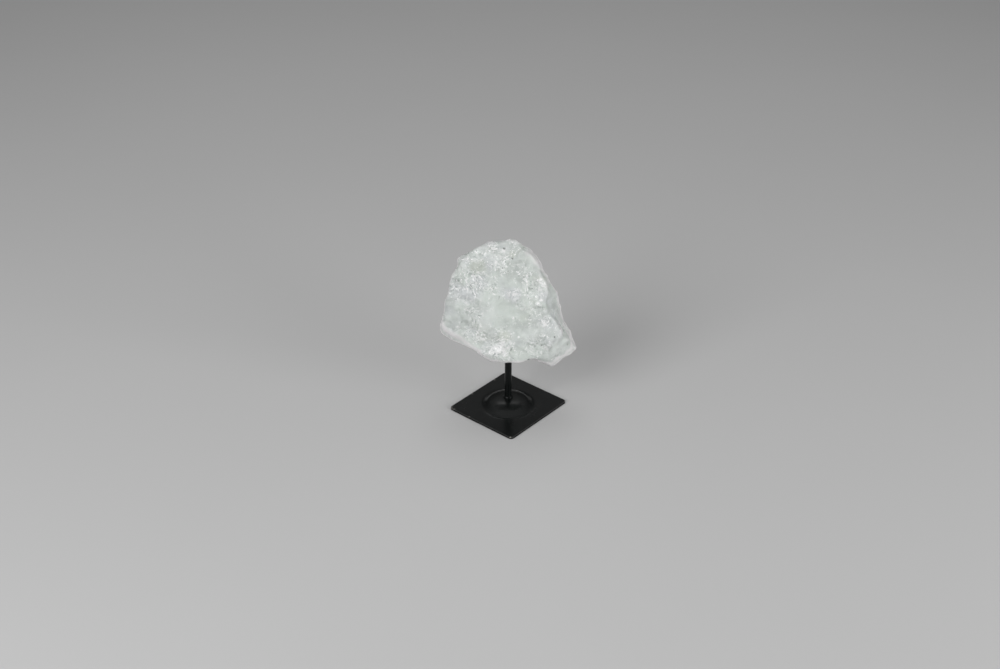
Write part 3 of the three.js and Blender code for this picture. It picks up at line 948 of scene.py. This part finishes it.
class SPECIMEN_OT_base_plate(bpy.types.Operator):
    """Builds the pressed steel plate with its round dome and softly rounded edges"""

    bl_idname = "specimen.base_plate"
    bl_label = "Base Plate"

    def face_rows(self, look, shoulder, foot, top, bottom):
        """Rows of points from the middle of one face to its edge, and how far each carries the painted
        edge highlight and rubbed paint, and how far it is cut.
        """
        dome_rings = 40
        flat_rings = 5
        outline = rounded_outline(look, look.edge_radius)
        ways = [point.normalized() for point in outline]
        rows = []
        for ring in range(1, dome_rings + 1):
            radius = foot * ring / dome_rings
            height = dome_height(look, radius, shoulder, foot, top, bottom)
            rows.append(([(*(way * radius), height) for way in ways], 0.0, 0.0))
        inner = rounded_outline(look, look.rim_band)
        for ring in range(1, flat_rings + 1):
            share = ring / flat_rings
            spots = [(way * foot).lerp(point, share) for way, point in zip(ways, inner)]
            rows.append(([(*spot, bottom) for spot in spots], 0.0, 0.0))
        rows.append(([(*point, bottom) for point in outline], 1.0, 0.0))
        return rows

    def edge_rows(self, look):
        """Rows of points down the edge: the upper corner, which carries the painted edge highlight and
        rubbed paint, the cut side and the lower corner.
        """
        radius = look.edge_radius
        fade = 0.4 * radius
        steps = 4
        turns = [math.pi / 2 * step / steps for step in range(1, steps + 1)]
        profile = [
            (radius * (1 - math.sin(turn)), look.sheet - radius * (1 - math.cos(turn)), 1.0, 0.0)
            for turn in turns
        ]
        profile.append((0.0, look.sheet - radius - fade, 0.0, 1.0))
        profile.append((0.0, radius, 0.0, 1.0))
        profile += [
            (radius * (1 - math.cos(turn)), radius * (1 - math.sin(turn)), 0.0, 1.0)
            for turn in turns[:-1]
        ]
        return [
            ([(*point, height) for point in rounded_outline(look, inset)], rubbed, cut)
            for inset, height, rubbed, cut in profile
        ]

    def execute(self, context):
        look = context.scene.stand_look
        crown = PLATE_HIGH.z
        top_rows = self.face_rows(look, look.dome_shoulder, look.dome_foot, crown, look.sheet)
        under_rows = self.face_rows(
            look, look.dome_shoulder - look.sheet, look.dome_foot - look.sheet, crown - look.sheet, 0.0
        )
        rows = top_rows + self.edge_rows(look) + under_rows[::-1]
        count = len(rows[0][0])
        points = [(0, 0, crown)]
        rubbed = [0.0]
        cut = [0.0]
        for row_points, row_rubbed, row_cut in rows:
            points.extend(row_points)
            rubbed.extend([row_rubbed] * count)
            cut.extend([row_cut] * count)
        points.append((0, 0, crown - look.sheet))
        rubbed.append(0.0)
        cut.append(0.0)
        faces = [(0, 1 + i, 1 + (i + 1) % count) for i in range(count)]
        for row in range(len(rows) - 1):
            near, far = 1 + row * count, 1 + (row + 1) * count
            for i in range(count):
                j = (i + 1) % count
                faces.append((near + i, far + i, far + j, near + j))
        last = 1 + (len(rows) - 1) * count
        faces.extend((len(points) - 1, last + (i + 1) % count, last + i) for i in range(count))
        mesh = bpy.data.meshes.new("pressed_plate")
        mesh.from_pydata(points, [], faces)
        mesh.attributes.new("rubbed", "FLOAT", "POINT").data.foreach_set("value", rubbed)
        mesh.attributes.new("cut", "FLOAT", "POINT").data.foreach_set("value", cut)
        middle = (PLATE_LOW + PLATE_HIGH) / 2
        place = Matrix.Translation((middle.x, middle.y, 0))
        mesh.transform(place @ Matrix.Rotation(look.plate_turn, 4, "Z"))
        mesh.shade_smooth()
        mesh.set_sharp_from_angle(angle=SHARP_ANGLE)
        plate = new_piece("pressed_base_plate", mesh)
        plate.data.materials.append(black_paint(look, "satin_black_plate", look.plate_gloss))
        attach(plate, BODY)
        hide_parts("base_plate")
        return {"FINISHED"}


def bead_waves(turn):
    """Unevenness of the weld bead round the rod, from 0 to 1."""
    ripples = 13
    drifts = 3
    drift_reach = 1.7
    return 0.5 + 0.5 * math.sin(ripples * turn + drift_reach * math.sin(drifts * turn))


class SPECIMEN_OT_stand_rod(bpy.types.Operator):
    """Builds the round bar with the uneven bead of weld round its foot"""

    bl_idname = "specimen.stand_rod"
    bl_label = "Stand Rod"

    def profile(self, look, bead_size):
        """Heights up the rod, and how far the rod swells out there."""
        bead_rows = 10
        bead_gap = 1 * MM
        chamfer = 0.4 * MM
        rows = []
        for row in range(bead_rows + 1):
            share = row / bead_rows
            rows.append((ROD_LOW.z + look.bead_height * share, bead_size * math.sqrt(1 - share ** 2)))
        rows.append((ROD_LOW.z + look.bead_height + bead_gap, 0.0))
        rows.append((ROD_HIGH.z - chamfer, 0.0))
        rows.append((ROD_HIGH.z, -chamfer))
        return rows

    def execute(self, context):
        look = context.scene.stand_look
        sides = 72
        bead_size = (ROD_HIGH.x - ROD_LOW.x) / 2 - look.rod_radius
        rows = self.profile(look, bead_size)
        points = []
        for height, swell in rows:
            for side in range(sides):
                turn = 2 * math.pi * side / sides
                dip = look.bead_ripple * bead_waves(turn) * max(0.0, swell) / bead_size
                radius = look.rod_radius + swell - dip
                across = ROD_AXIS.x + radius * math.cos(turn)
                along = ROD_AXIS.y + radius * math.sin(turn)
                points.append((across, along, height))
        faces = [tuple(range(sides))[::-1]]
        for row in range(len(rows) - 1):
            for side in range(sides):
                after = (side + 1) % sides
                low, high = row * sides, (row + 1) * sides
                faces.append((low + side, low + after, high + after, high + side))
        faces.append(tuple(range((len(rows) - 1) * sides, len(rows) * sides)))
        mesh = bpy.data.meshes.new("welded_rod")
        mesh.from_pydata(points, [], faces)
        mesh.shade_smooth()
        mesh.set_sharp_from_angle(angle=SHARP_ANGLE)
        rod = new_piece("welded_stand_rod", mesh)
        rod.data.materials.append(black_paint(look, "dull_black_rod", look.rod_gloss))
        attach(rod, BODY)
        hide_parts("stand_rod")
        return {"FINISHED"}


class SPECIMEN_OT_studio(bpy.types.Operator):
    """Sets up the pale floor, the soft lights and the camera"""

    bl_idname = "specimen.studio"
    bl_label = "Studio"

    def area_light(self, name, place, side, power):
        """A square soft light that is aimed at the middle of the stone."""
        light = bpy.data.lights.new(name, "AREA")
        light.shape = "SQUARE"
        light.size = side
        light.energy = power
        lamp = bpy.data.objects.new(name, light)
        bpy.context.scene.collection.objects.link(lamp)
        lamp.location = place
        aim = (STONE_LOW + STONE_HIGH) / 2 - Vector(place)
        lamp.rotation_euler = aim.to_track_quat("-Z", "Y").to_euler()

    def sky(self, look):
        """Grey light from all round, weaker near the horizon than overhead."""
        world = bpy.data.worlds.new("studio")
        world.use_nodes = True
        world.node_tree.nodes.clear()
        graph = Graph(world.node_tree)
        direction = graph.add("ShaderNodeTexCoord").out("Generated")
        height = graph.ease(graph.dot(direction, (0, 0, 1)), look.horizon_height, 1.0)
        strength = look.horizon_strength + height * (look.zenith_strength - look.horizon_strength)
        background = graph.add("ShaderNodeBackground", None, {"Strength": strength})
        graph.add("ShaderNodeOutputWorld", None, {"Surface": background})
        return world

    def execute(self, context):
        look = context.scene.studio_look
        half = look.floor_size / 2
        corners = [(-half, -half, 0), (half, -half, 0), (half, half, 0), (-half, half, 0)]
        mesh = bpy.data.meshes.new("floor")
        mesh.from_pydata(corners, [], [(0, 1, 2, 3)])
        floor = new_piece("floor", mesh)
        floor.data.materials.append(pale_floor(tuple(look.floor_colour)))

        context.scene.world = self.sky(look)

        self.area_light("key", look.key_place, look.key_side, look.key_power)
        self.area_light("fill", look.fill_place, look.fill_side, look.fill_power)
        self.area_light("back", look.back_place, look.back_side, look.back_power)

        camera = bpy.data.cameras.new("camera")
        camera.lens = look.lens
        camera.sensor_width = SENSOR_WIDTH
        viewer = bpy.data.objects.new("camera", camera)
        context.scene.collection.objects.link(viewer)
        viewer.location = look.camera_place
        viewer.rotation_euler = (math.pi / 2 - look.camera_dip, 0, 0)
        context.scene.camera = viewer
        context.scene.view_settings.view_transform = "Standard"
        return {"FINISHED"}


class SPECIMEN_PT_sidebar(bpy.types.Panel):
    bl_idname = "SPECIMEN_PT_sidebar"
    bl_label = "Quartz on a Stand"
    bl_space_type = "VIEW_3D"
    bl_region_type = "UI"
    bl_category = "Quartz"

    def draw(self, context):
        for operator, look in (
            (SPECIMEN_OT_quartz, context.scene.quartz_look),
            (SPECIMEN_OT_base_plate, context.scene.stand_look),
            (SPECIMEN_OT_stand_rod, None),
            (SPECIMEN_OT_studio, context.scene.studio_look),
        ):
            self.layout.operator(operator.bl_idname)
            for name in look.__annotations__ if look else ():
                self.layout.prop(look, name)


CLASSES = (
    QuartzLook,
    StandLook,
    StudioLook,
    SPECIMEN_OT_quartz,
    SPECIMEN_OT_base_plate,
    SPECIMEN_OT_stand_rod,
    SPECIMEN_OT_studio,
    SPECIMEN_PT_sidebar,
)


def register():
    for cls in CLASSES:
        bpy.utils.register_class(cls)
    bpy.types.Scene.quartz_look = bpy.props.PointerProperty(type=QuartzLook)
    bpy.types.Scene.stand_look = bpy.props.PointerProperty(type=StandLook)
    bpy.types.Scene.studio_look = bpy.props.PointerProperty(type=StudioLook)


def unregister():
    del bpy.types.Scene.studio_look
    del bpy.types.Scene.stand_look
    del bpy.types.Scene.quartz_look
    for cls in reversed(CLASSES):
        bpy.utils.unregister_class(cls)


def main():
    register()
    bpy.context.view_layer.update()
    bpy.ops.specimen.quartz()
    bpy.ops.specimen.base_plate()
    bpy.ops.specimen.stand_rod()
    bpy.ops.specimen.studio()


if __name__ == "__main__":
    main()
